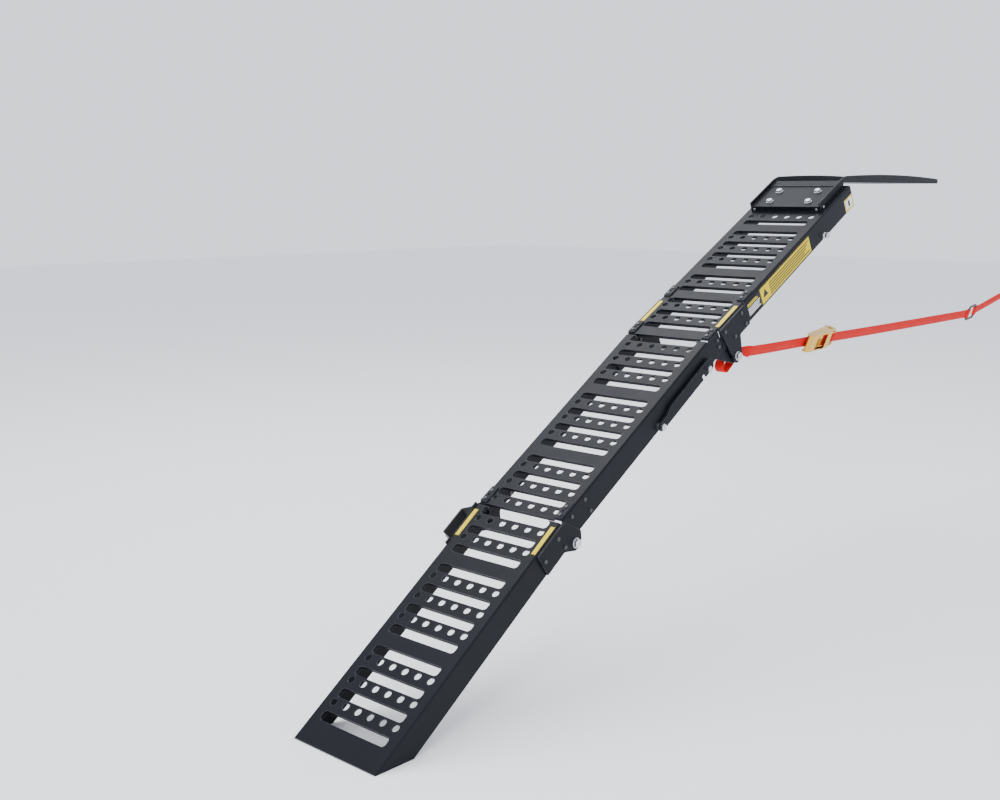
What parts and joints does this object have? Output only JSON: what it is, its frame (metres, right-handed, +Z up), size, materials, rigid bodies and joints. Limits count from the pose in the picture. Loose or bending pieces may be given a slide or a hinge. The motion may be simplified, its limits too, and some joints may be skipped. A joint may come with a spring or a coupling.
{
  "type": "folding loading ramp",
  "caption": "Folding arched loading ramp with hinged slotted sections, a tailgate tongue, a stow latch and a tie-down strap.",
  "frame": {"origin": "centre of the tongue's flat underside, where it lies on the tailgate", "axes": "+X horizontal, up the ramp towards the vehicle; +Y to the ramp's left side; +Z up"},
  "size_m": [2.7266, 0.2522, 0.9779],
  "materials": {
    "powder_coat": "fine textured powder coat, satin",
    "zinc": "bright zinc plate",
    "black_rivet": "black painted aluminium",
    "label_yellow": "printed vinyl, satin",
    "label_black": "printed vinyl, satin",
    "label_white": "printed vinyl, satin",
    "webbing_red": "woven polyester webbing",
    "gold_zinc": "yellow zinc plate",
    "black_plastic": "moulded, matt",
    "black_wire": "black coated steel wire"
  },
  "bodies": {
    "upper_section": {"buckle_anchor_pin": "gold_zinc", "buckle_frame": "gold_zinc", "corner_label": "label_white", "link_butt_plates": "powder_coat", "link_deck": "powder_coat", "link_rail_labels": "label_yellow", "link_splice_plates": "powder_coat", "side_label_large": "label_yellow", "side_label_small": "label_black", "stow_stud": "zinc", "stow_stud_nut": "zinc", "strap_hook": "black_wire", "strap_hook_leg": "webbing_red", "strap_main_run": "webbing_red", "strap_pivot_leg": "webbing_red", "strap_ring": "black_wire", "tailgate_tongue": "powder_coat", "top_butt_plates": "powder_coat", "top_deck": "powder_coat", "tray_bolts": "zinc", "tray_corner_blocks": "powder_coat", "tray_nuts": "zinc", "tray_screws": "zinc", "tray_spacers": "zinc", "tray_washers": "zinc", "upper_butt_rivets": "black_rivet", "upper_hinge_bracket_left": "powder_coat", "upper_hinge_bracket_right": "powder_coat", "upper_hinge_bracket_rivets": "black_rivet", "upper_hinge_nut": "zinc", "upper_hinge_rod": "zinc", "upper_hinge_spacers": "zinc", "upper_hinge_washers": "zinc"},
    "middle_section": {"latch_pivot_bolt": "zinc", "latch_pivot_nut": "zinc", "latch_pivot_spacer": "zinc", "lower_hinge_inner_plate_left": "powder_coat", "lower_hinge_inner_plate_right": "powder_coat", "middle_butt_plates": "powder_coat", "middle_butt_rivets": "black_rivet", "middle_deck": "powder_coat", "middle_section_rivets": "black_rivet", "upper_hinge_inner_plate_left": "powder_coat", "upper_hinge_inner_plate_right": "powder_coat"},
    "lower_section": {"carry_handle": "black_plastic", "carry_handle_screws": "black_rivet", "lower_deck": "powder_coat", "lower_hinge_bolts": "zinc", "lower_hinge_nuts": "zinc", "lower_hinge_outer_plate_left": "powder_coat", "lower_hinge_outer_plate_right": "powder_coat", "lower_hinge_outer_rivets": "black_rivet", "lower_hinge_spacers": "zinc", "lower_hinge_washers": "zinc", "lower_rail_labels": "label_yellow"},
    "stow_latch": {"stow_latch_bar": "powder_coat", "latch_thumb_bolt": "zinc"},
    "buckle_lever": {"ratchet_lever": "gold_zinc"},
    "buckle_spindle": {"ratchet_spindle": "gold_zinc", "strap_roll": "webbing_red"}
  },
  "joints": [
    {"name": "upper_fold", "type": "hinge", "parent": "upper_section", "child": "middle_section", "pos_m": [-0.7386, 0, -0.37115], "axis": [0, 1, 0], "range_deg": [-168.5, 0], "deforming": ["strap_pivot_leg", "strap_main_run", "strap_hook_leg", "strap_roll", "strap_ring", "strap_hook", "buckle_frame", "buckle_anchor_pin", "ratchet_spindle", "ratchet_lever"]},
    {"name": "lower_fold", "type": "hinge", "parent": "middle_section", "child": "lower_section", "pos_m": [-1.28137, 0, -0.67196], "axis": [0, 1, 0], "range_deg": [-176.5, 0]},
    {"name": "latch_swing", "type": "hinge", "parent": "middle_section", "child": "stow_latch", "pos_m": [-1.01465, 0, -0.48781], "axis": [0, 1, 0], "range_deg": [0, 147.3]},
    {"name": "lever_swing", "type": "hinge", "parent": "upper_section", "child": "buckle_lever", "pos_m": [-0.2766, -0.07557, -0.36735], "axis": [0, -0.342, 0.9397], "range_deg": [0, 90]},
    {"name": "spindle_turn", "type": "hinge", "parent": "upper_section", "child": "buckle_spindle", "pos_m": [-0.2766, -0.07557, -0.36735], "axis": [0, -0.342, 0.9397], "range_deg": [0, 90]}
  ],
  "couplings": [
    {"joint": "spindle_turn", "follows": "lever_swing", "ratio": 1}
  ]
}
